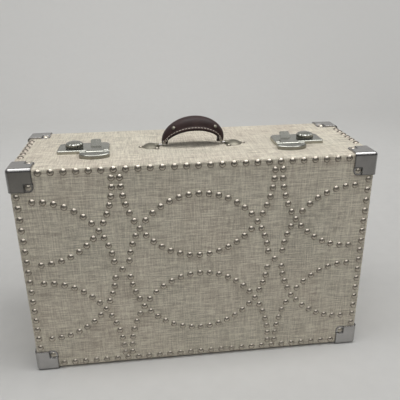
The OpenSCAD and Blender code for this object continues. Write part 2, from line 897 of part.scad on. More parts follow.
module handle_plate() {
    tunnel_x = plate_x - plate_r + tunnel_in;
    difference() {
        union() {
            difference() {
                plate_dome(0);
                plate_dome(plate_t);
            }
            intersection() {
                translate([tunnel_x, handle_y, z_top + shaft_z])
                    rotate([0, 90, 0])
                        cylinder(r = tunnel_r, h = tunnel_l);
                translate([tunnel_x, handle_y - tunnel_r, z_top]) cube([tunnel_l, 2 * tunnel_r, 3 * tunnel_r]);
            }
            difference() {
                lug_places() {
                    cylinder(r = lug_r, h = lug_t);
                    translate([-lug_r - 1, -lug_r, 0]) cube([lug_r + 1, 2 * lug_r, lug_t]);
                }
                plate_dome(plate_t);
            }
        }
        translate([0, handle_y, z_top + shaft_z])
            rotate([0, 90, 0])
                cylinder(r = shaft_r + running_fit, h = tunnel_x + tunnel_l + 1);
        lug_places()
            translate([0, 0, -1]) cylinder(d = rivet_d + 2 * rivet_fit, h = lug_t + 2);
    }
}

module handle_plate_rivet_set() {
    lug_places()
        translate([0, 0, lug_t])
            rivet(lug_rivet_d, lug_rivet_h, rivet_d, lug_t + rivet_depth);
}

// Handle, with heights counted from the linen on top of the case

function arch_t(i) = arch_start + i * (180 - 2 * arch_start) / arch_rings;
function arch_mid(t) = [arch_a * cos(t), arch_base + arch_b * sin(t)];
function arch_out(t) =
    let (n = [arch_b * cos(t), arch_a * sin(t)])
    n / norm(n);
function grip_half(t) = (grip_end_w + (grip_w - grip_end_w) * pow(sin(t), 0.8)) / 2;
function grip_rise(t) = grip_top * (0.25 + 0.75 * sin(t));

// Ring of points across the handle: u runs from edge to edge and rise says how far out each point lies
function arch_point(t, u, rise) =
    let (m = arch_mid(t), n = arch_out(t))
    [m[0] + n[0] * rise, handle_y + u * grip_half(t), z_top + m[1] + n[1] * rise];

// Profile across the padded top, from one stitched edge to the other
function top_profile(t) = [
    for (j = [0:section_half])
        let (a = 180 * j / section_half)
        arch_point(t, -cos(a), (grip_rise(t) - 1.5) * pow(sin(a), 0.8) + 1.5)
];
// Meeting plane of the padded top and the strap
function seam_profile(t) = [arch_point(t, 1, 0), arch_point(t, -1, 0)];
function strap_profile(t) = [arch_point(t, -1, 0), arch_point(t, 1, 0), arch_point(t, 0.94, -strap_t),
    arch_point(t, -0.94, -strap_t)];

// Solid through a list of rings that hold the same count of points
module loft(rings_list) {
    n = len(rings_list[0]);
    m = len(rings_list);
    sides = [
        for (i = [0:m - 2], j = [0:n - 1])
            let (a = i * n + j, b = i * n + (j + 1) % n, c = (i + 1) * n + (j + 1) % n, d = (i + 1) * n + j)
            each [[a, b, c], [a, c, d]]
    ];
    first = [for (j = [1:n - 2]) [0, j + 1, j]];
    last = [for (j = [1:n - 2]) [(m - 1) * n, (m - 1) * n + j, (m - 1) * n + j + 1]];
    polyhedron(points = [for (ring = rings_list) each ring], faces = concat(sides, first, last));
}

module handle_grip() {
    color(leather_c)
        loft([for (i = [0:arch_rings]) let (t = arch_t(i)) concat(top_profile(t), seam_profile(t))]);
}

module handle_strap() {
    color(leather_c)
        loft([for (i = [0:arch_rings]) strap_profile(arch_t(i))]);
}

// Wire loop at one end: two slanted legs from the pivot shaft to a bar inside the leather
module handle_loop() {
    tunnel_end = plate_x - plate_r + tunnel_in + tunnel_l;
    translate([0, handle_y, z_top + shaft_z]) {
        translate([loop_x, 0, 0]) rotate([0, 90, 0]) cylinder(r = shaft_r, h = tunnel_end + 1 - loop_x);
        translate([tunnel_end + 0.3, 0, 0]) rotate([0, 90, 0]) cylinder(r = shaft_head_r, h = shaft_head_l);
        translate([loop_x, 0, 0]) sphere(shaft_r);
        for (s = [-1, 1]) {
            bar([loop_x, 0, 0], [loop_x - 1.2, s * loop_half, loop_z], loop_r);
            translate([loop_x - 1.2, s * loop_half, loop_z]) sphere(loop_r);
        }
        bar([loop_x - 1.2, -loop_half, loop_z], [loop_x - 1.2, loop_half, loop_z], loop_r);
    }
}

// Nodes of the back shell

module back_board() { color(board_c) face_board(y_back); }
module body_top_board() { color(board_c) top_board(body_rim, y_back); }
module body_bottom_board() { color(board_c) bottom_board(body_rim, y_back); }
module body_side_boards() { color(board_c) side_boards(body_rim, y_back); }
module body_linen() { color(linen_c) shell_linen(body_rim, y_back); }
module body_lining() { color(lining_c) shell_lining(body_rim + linen_t, y_back); }
module body_corner_caps() { color(chrome_c) four_caps(1); }
module body_cap_rivets() { color(nickel_c) four_rivet_sets(1); }
module back_studs() { color(nickel_c) studs_on_face(borders, y_back); }
module body_top_studs() {
    color(nickel_c) studs_on_top([for (i = [0:top_count]) top_first_y + i * stud_pitch]);
}
module left_lock_casing() { color(chrome_c) on_side(-1) lock_casing(); }
module right_lock_casing() { color(chrome_c) lock_casing(); }
module lock_base_plates() { color(nickel_c) for (s = [-1, 1]) on_side(s) lock_base_plate(); }
module lock_rivets() { color(nickel_c) for (s = [-1, 1]) on_side(s) lock_rivet_set(); }
module left_handle_plate() { color(chrome_c) on_side(-1) handle_plate(); }
module right_handle_plate() { color(chrome_c) handle_plate(); }
module handle_plate_rivets() { color(nickel_c) for (s = [-1, 1]) on_side(s) handle_plate_rivet_set(); }
module body_hinge_leaves() { color(chrome_c) at_hinges() hinge_leaf(1); }
module body_hinge_rivets() { color(nickel_c) at_hinges() leaf_rivet_set(1); }
module hinge_pins() {
    color(nickel_c)
        at_hinges()
            translate([-hinge_l / 2, 0, 0]) rotate([0, 90, 0]) cylinder(r = hinge_pin_r, h = hinge_l);
}

// Nodes of the lid

module front_board() { color(board_c) face_board(y_front); }
module lid_top_board() { color(board_c) top_board(lid_rim, y_front); }
module lid_bottom_board() { color(board_c) bottom_board(lid_rim, y_front); }
module lid_side_boards() { color(board_c) side_boards(lid_rim, y_front); }
module lid_linen() { color(linen_c) shell_linen(lid_rim, y_front); }
module lid_lining() { color(lining_c) shell_lining(lid_rim - lip_out - lip_room, y_front); }
module lid_corner_caps() { color(chrome_c) four_caps(-1); }
module lid_cap_rivets() { color(nickel_c) four_rivet_sets(-1); }
module front_border_studs() { color(nickel_c) studs_on_face(borders, y_front); }
module front_ring_studs() { color(nickel_c) studs_on_face(concat(touch_points, free_arcs, free_rings), y_front); }
module left_hasp_base() { color(chrome_c) on_side(-1) hasp_base(); }
module right_hasp_base() { color(chrome_c) hasp_base(); }
module hasp_base_rivets() { color(nickel_c) for (s = [-1, 1]) on_side(s) hasp_base_rivet_set(); }
module hasp_pins() { color(nickel_c) for (s = [-1, 1]) on_side(s) hasp_pin(); }
module lid_hinge_leaves() { color(chrome_c) at_hinges() hinge_leaf(-1); }
module lid_hinge_rivets() { color(nickel_c) at_hinges() leaf_rivet_set(-1); }

// Nodes of the latches and the handle

module left_hasp() { color(chrome_c) on_side(-1) hasp(); }
module right_hasp() { color(chrome_c) hasp(); }
module left_knob() { color(chrome_c) on_side(-1) lock_knob(); }
module right_knob() { color(chrome_c) lock_knob(); }
module left_cam() { color(nickel_c) on_side(-1) lock_cam(); }
module right_cam() { color(nickel_c) lock_cam(); }
module left_bolt() { color(nickel_c) on_side(-1) lock_bolt(); }
module right_bolt() { color(nickel_c) lock_bolt(); }
module handle_loops() { color(chrome_c) for (s = [-1, 1]) on_side(s) handle_loop(); }

back_board();
body_top_board();
body_bottom_board();
body_side_boards();
body_linen();
body_lining();
closing_lip();
body_corner_caps();
body_cap_rivets();
back_studs();
body_top_studs();
left_lock_casing();
right_lock_casing();
lock_base_plates();
lock_rivets();
left_handle_plate();
right_handle_plate();
handle_plate_rivets();
body_hinge_leaves();
body_hinge_rivets();
hinge_pins();
front_board();
lid_top_board();
lid_bottom_board();
lid_side_boards();
lid_linen();
lid_lining();
lid_corner_caps();
lid_cap_rivets();
front_border_studs();
front_ring_studs();
left_hasp_base();
right_hasp_base();
hasp_base_rivets();
hasp_pins();
lid_hinge_leaves();
lid_hinge_rivets();
left_hasp();
right_hasp();
left_knob();
right_knob();
left_cam();
right_cam();
left_bolt();
right_bolt();
handle_grip();
handle_strap();
handle_loops();
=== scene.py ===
"""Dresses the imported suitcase: linen, nickel, chrome, leather and the studio round it."""

import math

import bmesh
import bpy
from bpy.props import FloatProperty, FloatVectorProperty, IntProperty, PointerProperty
from mathutils import Euler, Matrix, Vector


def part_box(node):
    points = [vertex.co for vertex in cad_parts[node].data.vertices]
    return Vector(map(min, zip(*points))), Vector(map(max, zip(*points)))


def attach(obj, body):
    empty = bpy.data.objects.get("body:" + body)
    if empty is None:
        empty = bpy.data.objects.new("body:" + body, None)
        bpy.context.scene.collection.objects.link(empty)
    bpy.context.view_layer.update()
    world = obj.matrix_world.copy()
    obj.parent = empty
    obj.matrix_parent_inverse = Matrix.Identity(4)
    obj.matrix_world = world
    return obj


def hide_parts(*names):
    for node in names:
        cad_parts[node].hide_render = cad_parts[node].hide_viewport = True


bl_info = {
    "name": "Linen suitcase",
    "version": (1, 0, 0),
    "blender": (4, 5, 0),
    "location": "View3D > Sidebar > Suitcase",
    "description": "Finishes for a hard suitcase and a stitched leather handle",
    "category": "Object",
}

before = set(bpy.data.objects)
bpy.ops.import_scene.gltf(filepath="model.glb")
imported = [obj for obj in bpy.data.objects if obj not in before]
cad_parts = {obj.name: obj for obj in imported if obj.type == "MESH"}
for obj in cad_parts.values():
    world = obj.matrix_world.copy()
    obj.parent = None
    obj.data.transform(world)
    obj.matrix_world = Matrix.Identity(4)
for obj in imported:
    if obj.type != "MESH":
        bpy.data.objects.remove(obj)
bpy.context.view_layer.update()
CASE_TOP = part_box("body_linen")[1].z
GRIP_LOW, GRIP_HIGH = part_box("handle_grip")
HANDLE_Y = (GRIP_LOW.y + GRIP_HIGH.y) / 2

# Edges that meet at less than this are shaded smooth
SMOOTH_ANGLE = math.radians(40)

# Ribs pressed into the tops of the knobs
KNOB_RIBS = 14
RIB_DEPTH = 0.0006

# The studio's floor, and the wide curve in which it rises into a wall
FLOOR_FRONT = 4.0
FLOOR_BACK = 1.5
BEND_RADIUS = 0.8
BEND_STEPS = 16
WALL_HEIGHT = 3.0

# How far under the floor a piece can be for the floor to turn clear over it
CLEAR_REACH = 0.45

# Each lamp's place, the point that it faces, and its width and height
KEY_LAMP = ((0.25, -0.7, 1.7), (0, -0.1, 0.2), (2.6, 1.5))
OVERHEAD_LAMP = ((0, -0.15, 2.3), (0, -0.05, 0), (3.0, 0.7))
WALL_LAMP = ((0, 0.6, 1.6), (0, 2.3, 1.1), (3.0, 0.8))


# Settings that a user would change


def colour_setting(name, description, default):
    """A colour."""
    return FloatVectorProperty(
        name=name, description=description, subtype="COLOR", default=default, min=0, max=1
    )


def length_setting(name, description, default, **limits):
    """A length in metres."""
    return FloatProperty(name=name, description=description, unit="LENGTH", default=default, **limits)


def angle_setting(name, description, degrees):
    """An angle, given here in degrees."""
    return FloatProperty(
        name=name, description=description, subtype="ANGLE", default=math.radians(degrees)
    )


def power_setting(name, description, default):
    """The power of a lamp in watts."""
    return FloatProperty(name=name, description=description, unit="POWER", default=default, min=0)


def factor_setting(name, description, default):
    """A share from 0 to 1."""
    return FloatProperty(
        name=name, description=description, subtype="FACTOR", default=default, min=0, max=1
    )


class LinenSettings(bpy.types.PropertyGroup):
    """Cloth that covers both shells"""

    light: colour_setting("Light yarn", "Colour of the palest flax yarns", (0.85, 0.795, 0.655))
    dark: colour_setting("Dark yarn", "Colour of the darkest flax yarns", (0.34, 0.306, 0.25))
    warm: colour_setting(
        "Warm yarn", "Colour of the dark yarns where the flax turns warmer", (0.375, 0.30, 0.24)
    )
    yarn_pitch: length_setting(
        "Yarn pitch", "Distance between two neighbouring yarns", 0.0011, min=0.0003
    )
    slub_length: length_setting(
        "Slub length", "Typical length of a thick or thin stretch of yarn", 0.024, min=0.005
    )


class MetalSettings(bpy.types.PropertyGroup):
    """Plated hardware"""

    nickel: colour_setting("Nickel", "Colour of the nailheads, rivets and pins", (0.57, 0.52, 0.44))
    tarnish: colour_setting(
        "Tarnished nickel",
        "Colour of the nailheads on the top, which have turned brown",
        (0.29, 0.255, 0.215),
    )
    chrome: colour_setting(
        "Chrome", "Colour of the corner caps, hinges and wire loops", (0.47, 0.46, 0.45)
    )
    latch: colour_setting(
        "Latch chrome", "Colour of the latches, a little yellowed", (0.44, 0.44, 0.395)
    )
    aged: colour_setting(
        "Aged plate",
        "Colour of the domed handle plates, which have lost their shine",
        (0.25, 0.235, 0.19),
    )
    steel: colour_setting("Steel", "Colour of the parts inside the latches", (0.50, 0.50, 0.50))
    edge_radius: length_setting(
        "Edge radius", "Radius to which pressed edges look rounded", 0.0006, min=0
    )


class HandleSettings(bpy.types.PropertyGroup):
    """Stitched leather handle"""

    half_span: length_setting("Half span", "Half width of the arch along its middle line", 0.042)
    rise: length_setting("Rise", "Height of the arch's middle line over its feet", 0.024)
    lean: length_setting(
        "Lean", "How far the crown of the worn leather has moved to the right", 0.0035
    )
    foot: length_setting("Foot", "Height of the arch's feet over the linen", 0.0031)
    start: angle_setting("Start", "Angle at which the leather starts on either side", 3)
    width: length_setting("Width", "Width of the leather at the crown", 0.032)
    end_width: length_setting("End width", "Width that the leather tapers towards at its feet", 0.005)
    padding: length_setting(
        "Padding", "Height of the padded top over the middle line at the crown", 0.017
    )
    strap_thickness: length_setting(
        "Strap thickness", "Thickness of the strap on the underside", 0.0024
    )
    rings: IntProperty(name="Rings", description="Steps along the arch", default=36, min=8)
    stitch_pitch: length_setting("Stitch pitch", "Distance from one stitch to the next", 0.0046)
    stitch_length: length_setting("Stitch length", "Length of one stitch that shows", 0.0034)
    stitch_radius: length_setting("Stitch radius", "Radius of the waxed thread", 0.00055)
    rivet_radius: length_setting("Rivet radius", "Radius of the small rivets in the leather", 0.0027)
    rivet_angle: angle_setting(
        "Rivet angle", "Place of the small rivets along the arch, from either foot", 50
    )
    tab_angle: angle_setting("Tab angle", "Angle along the arch at which the end tabs run out", 26)
    tab_thickness: length_setting(
        "Tab thickness", "Thickness of the end tabs at their feet", 0.0055
    )
    wire_radius: length_setting(
        "Wire radius", "Radius of the wire that shows at the ends of the leather", 0.0009
    )
    leather: colour_setting("Leather", "Colour of the waxed leather", (0.050, 0.026, 0.024))
    thread: colour_setting("Thread", "Colour of the stitching", (0.72, 0.64, 0.53))


class StudioSettings(bpy.types.PropertyGroup):
    """Camera, floor and soft light"""

    camera_place: FloatVectorProperty(
        name="Camera place",
        description="Where the camera stands",
        subtype="TRANSLATION",
        default=(-0.0717, -0.7251, 0.5287),
    )
    camera_turn: angle_setting("Turn", "Heading of the camera, from straight at the front", -6.57)
    camera_tilt: angle_setting("Tilt", "How far the camera looks down", 22.35)
    camera_roll: angle_setting("Roll", "Turn of the camera about its own view", -0.69)
    lens: FloatProperty(
        name="Lens", description="Focal length in millimetres", unit="CAMERA", default=44.82
    )
    backdrop: colour_setting(
        "Backdrop", "Colour of the floor and the backdrop", (0.60, 0.595, 0.578)
    )
    # Painted reflection: the floor near the camera takes this colour in glossy rays only, so bright
    # metal mirrors it darker.
    painted_reflection_dim: colour_setting(
        "Dim room",
        "Colour of the floor near the camera, as bright metal mirrors it",
        (0.25, 0.24, 0.215),
    )
    key: power_setting("Key light", "Power of the light over the front of the suitcase", 15.7)
    overhead: power_setting(
        "Overhead light", "Power of the large soft light over the whole set", 28.5
    )
    wall: power_setting("Wall light", "Power of the light on the backdrop", 24.0)
    fill: factor_setting("Fill", "Strength of the light from all round", 0.12)
    room: factor_setting(
        "Room", "Brightness of the room where it is seen or mirrored, 1 being white", 0.52
    )


# Modelling helpers


def deselect_all():
    """Leaves no object selected and none active."""
    bpy.ops.object.select_all(action="DESELECT")
    bpy.context.view_layer.objects.active = None


def single_out(obj):
    """Makes one object active and the only one selected."""
    bpy.ops.object.select_all(action="DESELECT")
    obj.select_set(True)
    bpy.context.view_layer.objects.active = obj


def edit(obj):
    """Opens one object in edit mode, alone."""
    single_out(obj)
    bpy.ops.object.mode_set(mode="EDIT")


def leave_edit():
    """Goes back to object mode."""
    bpy.ops.object.mode_set(mode="OBJECT")


def pick(test):
    """Selects the vertices of the open mesh that pass a test of their place, and nothing else."""
    bpy.ops.mesh.select_mode(type="VERT")
    bpy.ops.mesh.select_all(action="DESELECT")
    mesh = bmesh.from_edit_mesh(bpy.context.edit_object.data)
    for vertex in mesh.verts:
        vertex.select = test(vertex.co)
    mesh.select_flush_mode()
    bmesh.update_edit_mesh(bpy.context.edit_object.data)


def join(objects):
    """Makes several objects one and returns it."""
    single_out(objects[0])
    for obj in objects:
        obj.select_set(True)
    bpy.ops.object.join()
    return bpy.context.active_object


def turn_about_y(angle, centre):
    """Turns what is selected from +Z towards +X, about an axis along Y."""
    bpy.ops.transform.rotate(value=-angle, orient_axis="Y", center_override=centre)


def aim(obj, place, direction):
    """Puts an object at a place, with its Z axis along a direction."""
    obj.location = place
    obj.rotation_mode = "QUATERNION"
    obj.rotation_quaternion = direction.to_track_quat("Z", "Y")


def add_profile(points):
    """Adds a round face of radius 1 in the plane x = 0 and opens it in edit mode."""
    bpy.ops.mesh.primitive_circle_add(
        vertices=points, radius=1, fill_type="NGON", rotation=(math.pi / 2, 0, math.pi / 2)
    )
    profile = bpy.context.active_object
    bpy.ops.object.transform_apply(location=True, rotation=True, scale=True)
    edit(profile)
    return profile


def round_off(obj):
    """Ends the shaping of a swept mesh: its faces turn outwards and it is subdivided twice."""
    bpy.ops.mesh.select_all(action="SELECT")
    bpy.ops.mesh.normals_make_consistent(inside=False)
    leave_edit()
    smooth = obj.modifiers.new("Round", "SUBSURF")
    smooth.levels = smooth.render_levels = 2
    single_out(obj)
    bpy.ops.object.modifier_apply(modifier=smooth.name)


def add_rod(length, radius, segments, rings):
    """Adds a rod with round ends along Z, with its middle at the origin."""
    bpy.ops.mesh.primitive_uv_sphere_add(segments=segments, ring_count=rings, radius=radius)
    rod = bpy.context.active_object
    edit(rod)
    for end in (-1, 1):
        pick(lambda place: end * place.z > radius / 8)
        bpy.ops.transform.translate(value=(0, 0, end * (length / 2 - radius)))
    leave_edit()
    return rod


def finish_piece(obj, name, body, material):
    """Names a modelled piece, puts its place in its mesh and lets it ride on a body."""
    obj.name = name
    obj.data.name = name
    single_out(obj)
    bpy.ops.object.transform_apply(location=True, rotation=True, scale=True)
    bpy.ops.object.shade_smooth_by_angle(angle=SMOOTH_ANGLE)
    obj.data.materials.clear()
    obj.data.materials.append(material)
    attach(obj, body)
    deselect_all()


# The shape of the handle: half an ellipse on the top of the case, its angles from the right foot


def arch_place(settings, angle):
    """Middle of the handle's leather at an angle along the arch."""
    return Vector((
        settings.half_span * math.cos(angle) + settings.lean * math.sin(angle),
        HANDLE_Y,
        CASE_TOP + settings.foot + settings.rise * math.sin(angle),
    ))


def arch_outward(settings, angle):
    """Direction square to the arch, away from its middle."""
    sideways = settings.half_span * math.sin(angle) - settings.lean * math.cos(angle)
    return Vector((settings.rise * math.cos(angle), 0, sideways)).normalized()


def leather_half(settings, angle):
    """Half width of the leather, which narrows from the crown to the feet."""
    fullness = math.sin(angle) ** 0.8
    return (settings.end_width + (settings.width - settings.end_width) * fullness) / 2


def leather_padding(settings, angle):
    """Height of the padding over the arch; a flat share of it reaches the feet."""
    flat_share = 0.18
    return settings.padding * (flat_share + (1 - flat_share) * math.sin(angle) ** 1.1)


def along_edge(settings, angle, side, share=0.9, lift=0.125):
    """Point on the leather in front of the arch (side -1) or behind it (1).

    share is its share of the half width, lift that of the padding. Left alone, they give the
    flat margin that the stitches run in.
    """
    place = arch_place(settings, angle)
    place += arch_outward(settings, angle) * (lift * leather_padding(settings, angle))
    place.y += side * share * leather_half(settings, angle)
    return place


def both_ends(low, high):
    """The same stretch of the arch at both feet, each from its foot upwards."""
    return (low, high), (math.pi - low, math.pi - high)


def stitch_angles(settings, side):
    """Angles at which the stitches of one margin lie, one pitch after another."""
    steps = 720
    first, last = settings.start, math.pi - settings.start
    angles = [first + (last - first) * step / steps for step in range(steps + 1)]
    points = [along_edge(settings, angle, side) for angle in angles]
    travelled = [0.0]
    for here, there in zip(points, points[1:]):
        travelled.append(travelled[-1] + (there - here).length)
    pitch = settings.stitch_pitch
    count = int(travelled[-1] / pitch)
    margin = (travelled[-1] - (count - 1) * pitch) / 2
    found = []
    for index in range(count):
        wanted = margin + index * pitch
        nearest = min(range(len(travelled)), key=lambda step: abs(travelled[step] - wanted))
        found.append(angles[nearest])
    return found


def sweep_along_arch(settings, sizes, first=None, last=None):
    """Extrudes the open profile ring by ring along the arch, or along the stretch that is given.

    The profile lies in the plane x = 0 at unit size, with Z outwards and Y across; sizes gives
    its half width and its height at an angle.
    """
    first = settings.start if first is None else first
    last = math.pi - settings.start if last is None else last
    count = max(6, round(settings.rings * abs(last - first) / math.pi))
    place = Vector((0, 0, 0))
    tilt = 0.0
    across, height = 1.0, 1.0
    bpy.ops.mesh.select_all(action="SELECT")
    for step in range(count + 1):
        if step:
            bpy.ops.mesh.extrude_region_move()
        angle = first + step * (last - first) / count
        outward = arch_outward(settings, angle)
        turn_about_y(-tilt, place)
        new_across, new_height = sizes(angle)
        bpy.ops.transform.resize(
            value=(1, new_across / across, new_height / height), center_override=place
        )
        across, height = new_across, new_height
        tilt = math.atan2(outward.x, outward.z)
        turn_about_y(tilt, place)
        new_place = arch_place(settings, angle)
        bpy.ops.transform.translate(value=new_place - place)
        place = new_place


# Material helpers


def darker(color, share):
    """A colour at a share of its brightness."""
    return tuple(channel * share for channel in color)


class NodeTree:
    """Short ways to add nodes to a material or to the world."""

    def __init__(self, tree):
        self.nodes = tree.nodes
        self.links = tree.links

    def put(self, socket, value):
        """Links a socket to an input, or sets the input to a number or colour."""
        if isinstance(value, bpy.types.NodeSocket):
            self.links.new(value, socket)
        elif hasattr(value, "__len__") and len(value) == 3 and len(socket.default_value) == 4:
            socket.default_value = (*value, 1)
        else:
            socket.default_value = value

    def add(self, kind, *values, operation=None, **named):
        """Adds a node and fills its inputs, in their order or by their names."""
        node = self.nodes.new(kind)
        if operation:
            node.operation = operation
        for socket, value in zip(node.inputs, values):
            self.put(socket, value)
        for name, value in named.items():
            self.put(node.inputs[name], value)
        return node

    def math(self, operation, a, b=0.0, c=0.0):
        """One sum of up to three values."""
        return self.add("ShaderNodeMath", a, b, c, operation=operation).outputs[0]

    def total(self, *shares):
        """Several values added up, each times its share."""
        result = 0.0
        for value, share in shares:
            result = self.math("MULTIPLY_ADD", value, share, result)
        return result

    def vector(self, x, y, z=0.0):
        """A vector from its parts."""
        return self.add("ShaderNodeCombineXYZ", x, y, z).outputs[0]

    def parts(self, vector):
        """The parts of a vector."""
        return self.add("ShaderNodeSeparateXYZ", vector).outputs

    def minus(self, a, b):
        """The difference of two vectors."""
        return self.add("ShaderNodeVectorMath", a, b, operation="SUBTRACT").outputs[0]

    def distance(self, x, y):
        """Distance from the middle in a plane."""
        return self.math("SQRT", self.math("MULTIPLY_ADD", x, x, self.math("MULTIPLY", y, y)))

    def noise(self, vector, scale, detail=2.0, roughness=0.5):
        """Soft random patches, from 0 to 1."""
        node = self.add(
            "ShaderNodeTexNoise", Vector=vector, Scale=scale, Detail=detail, Roughness=roughness
        )
        return node.outputs["Fac"]

    def spread(self, value, low, high, to_low=0.0, to_high=1.0):
        """Stretches a value from one range to another and holds it there."""
        return self.add("ShaderNodeMapRange", value, low, high, to_low, to_high).outputs["Result"]

    def blend(self, factor, a, b):
        """A colour between two others."""
        node = self.nodes.new("ShaderNodeMix")
        node.data_type = "RGBA"
        for index, value in ((0, factor), (6, a), (7, b)):
            self.put(node.inputs[index], value)
        return node.outputs[2]

    def bump(self, height, depth, strength=1.0, **normal):
        """Relief of a depth in metres, on the shader's own normal or on another."""
        node = self.add(
            "ShaderNodeBump", Height=height, Distance=depth, Strength=strength, **normal
        )
        return node.outputs["Normal"]


class Finish(NodeTree):
    """One material under construction, with its shader."""

    def __init__(self, name, roughness, metallic=0.0):
        self.material = bpy.data.materials.new(name)
        self.material.use_nodes = True
        super().__init__(self.material.node_tree)
        coordinates = self.nodes.new("ShaderNodeTexCoord").outputs
        self.place = coordinates["Object"]
        self.facing = coordinates["Normal"]
        self.shader = self.nodes["Principled BSDF"]
        self.give("Roughness", roughness)
        self.give("Metallic", metallic)

    def give(self, name, value):
        """Gives one of the shader's inputs a value or a link."""
        self.put(self.shader.inputs[name], value)

    def soft_edges(self, radius):
        """Normals that look as if every edge had a radius."""
        node = self.add("ShaderNodeBevel", Radius=radius)
        node.samples = 6
        return node.outputs["Normal"]

    def rims(self, radius, centre):
        """1 along the free and the upright edges of a sheet that wraps a box, 0 elsewhere."""
        flat = self.nodes.new("ShaderNodeNewGeometry").outputs["True Normal"]
        lean = self.parts(self.minus(self.soft_edges(radius), flat))
        away = self.parts(self.minus(self.place, centre))
        deep = self.math("MULTIPLY", lean[1], away[1])
        inward = self.math("MULTIPLY", self.math("MULTIPLY_ADD", lean[2], away[2], deep), -1.0)
        upright_share = 0.15
        upright = self.math("MULTIPLY", self.math("ABSOLUTE", lean[0]), upright_share)
        return self.spread(self.math("MAXIMUM", inward, upright), 0.006, 0.03)

    def ribs(self, centre, radius, count):
        """Ribs that run out from the middle of a round knob, 0 in a groove and 1 on a crest."""
        x, y, _ = self.parts(self.minus(self.place, centre))
        turn = self.math("MULTIPLY", self.math("ARCTAN2", y, x), count)
        crest = self.math("MULTIPLY_ADD", self.math("SINE", turn), 0.5, 0.5)
        plain_middle, full_depth = 0.3 * radius, 0.8 * radius
        outer = self.spread(self.distance(x, y), plain_middle, full_depth)
        return self.math("MULTIPLY", crest, outer)


def cloth_places(finish):
    """Places across and along the cloth on each face of a box, and which face it is."""
    x, y, z = finish.parts(finish.place)
    nx, ny, nz = (finish.math("ABSOLUTE", side) for side in finish.parts(finish.facing))
    on_side = finish.math("GREATER_THAN", nx, finish.math("MAXIMUM", ny, nz))
    on_top = finish.math("GREATER_THAN", nz, finish.math("MAXIMUM", nx, ny))
    across = finish.math("MULTIPLY_ADD", on_side, finish.math("SUBTRACT", y, x), x)
    along = finish.math("MULTIPLY_ADD", on_top, finish.math("SUBTRACT", y, z), z)
    face = finish.math("ADD", on_side, finish.math("MULTIPLY", on_top, 3.0))
    return across, along, face


def slubs(finish, across, along, face, length, thickness, seed):
    """Streaks that run across the cloth, as long and as thick as they are told."""
    face_shift = 5.3
    place = finish.vector(
        finish.math("DIVIDE", across, length),
        finish.math("DIVIDE", along, thickness),
        finish.math("MULTIPLY_ADD", face, face_shift, seed),
    )
    return finish.noise(place, 1.0, detail=2.0, roughness=0.6)


def woven_height(finish, across, along, pitch):
    """Height of a plain weave whose yarns pass over and under each other."""
    warp = finish.math("SINE", finish.math("MULTIPLY", across, math.pi / pitch))
    weft = finish.math("SINE", finish.math("MULTIPLY", along, math.pi / pitch))
    over = finish.spread(finish.math("MULTIPLY", warp, weft), -0.25, 0.25)
    warp_top = finish.math("ABSOLUTE", warp)
    weft_top = finish.math("ABSOLUTE", weft)
    lift = finish.math("SUBTRACT", warp_top, weft_top)
    return finish.math("MULTIPLY_ADD", over, lift, weft_top)


# Materials, one function for each finish


def linen_finish(settings):
    """Slubby flax cloth: streaks both ways, yarn by yarn relief and a few dark slubs."""
    finish = Finish("slub linen", roughness=0.86)
    across, along, face = cloth_places(finish)
    cloth = finish.vector(across, along, face)
    pitch = settings.yarn_pitch
    wander = 0.004
    sway = finish.noise(cloth, 14.0, detail=1.0)
    across_sway = finish.math("MULTIPLY_ADD", sway, wander, across)
    along_sway = finish.math("MULTIPLY_ADD", sway, wander, along)
    short, long = settings.slub_length, 2.5 * settings.slub_length
    thin, thick = 1.7 * pitch, 6 * pitch
    weft = slubs(finish, across, along_sway, face, short, thin, seed=0.0)
    weft_wide = slubs(finish, across, along_sway, face, long, thick, seed=11.0)
    warp = slubs(finish, along, across_sway, face, short, thin, seed=23.0)
    warp_wide = slubs(finish, along, across_sway, face, long, thick, seed=37.0)
    cloud = finish.noise(cloth, 16.0)
    fleck = finish.noise(cloth, 0.45 / pitch, roughness=0.7)
    tone = finish.total(
        (warp, 0.24), (weft, 0.34), (weft_wide, 0.10), (warp_wide, 0.07), (fleck, 0.17), (cloud, 0.08)
    )
    shade = finish.spread(tone, 0.415, 0.59)
    height = woven_height(finish, across_sway, along_sway, pitch)
    tint = finish.spread(finish.noise(cloth, 7.0, detail=3.0), 0.35, 0.65)
    dark = finish.blend(tint, settings.dark, settings.warm)
    # Painted shade: the weave's height also lightens the yarn's colour, so its low crossings are
    # painted darker.
    yarn = finish.total((shade, 0.86), (height, 0.22))
    finish.give("Base Color", finish.blend(yarn, dark, settings.light))
    relief = finish.math("MULTIPLY_ADD", shade, 0.8, height)
    finish.give("Normal", finish.bump(relief, 0.00025, strength=0.8))
    finish.give("Sheen Weight", 0.15)
    finish.give("Sheen Roughness", 0.5)
    finish.give("Specular IOR Level", 0.3)
    return finish.material


def lining_finish():
    """Plain cream cotton with a fine even weave."""
    finish = Finish("cotton lining", roughness=0.9)
    across, along, face = cloth_places(finish)
    streak, yarn = 0.03, 0.001
    weft = slubs(finish, across, along, face, streak, yarn, seed=3.0)
    warp = slubs(finish, along, across, face, streak, yarn, seed=19.0)
    cloud = finish.noise(finish.vector(across, along, face), 9.0)
    shade = finish.spread(finish.total((warp, 0.35), (weft, 0.35), (cloud, 0.3)), 0.35, 0.65)
    finish.give("Base Color", finish.blend(shade, (0.66, 0.61, 0.51), (0.82, 0.78, 0.68)))
    height = woven_height(finish, across, along, 0.0007)
    finish.give("Normal", finish.bump(height, 0.00015, strength=0.6))
    finish.give("Sheen Weight", 0.1)
    return finish.material


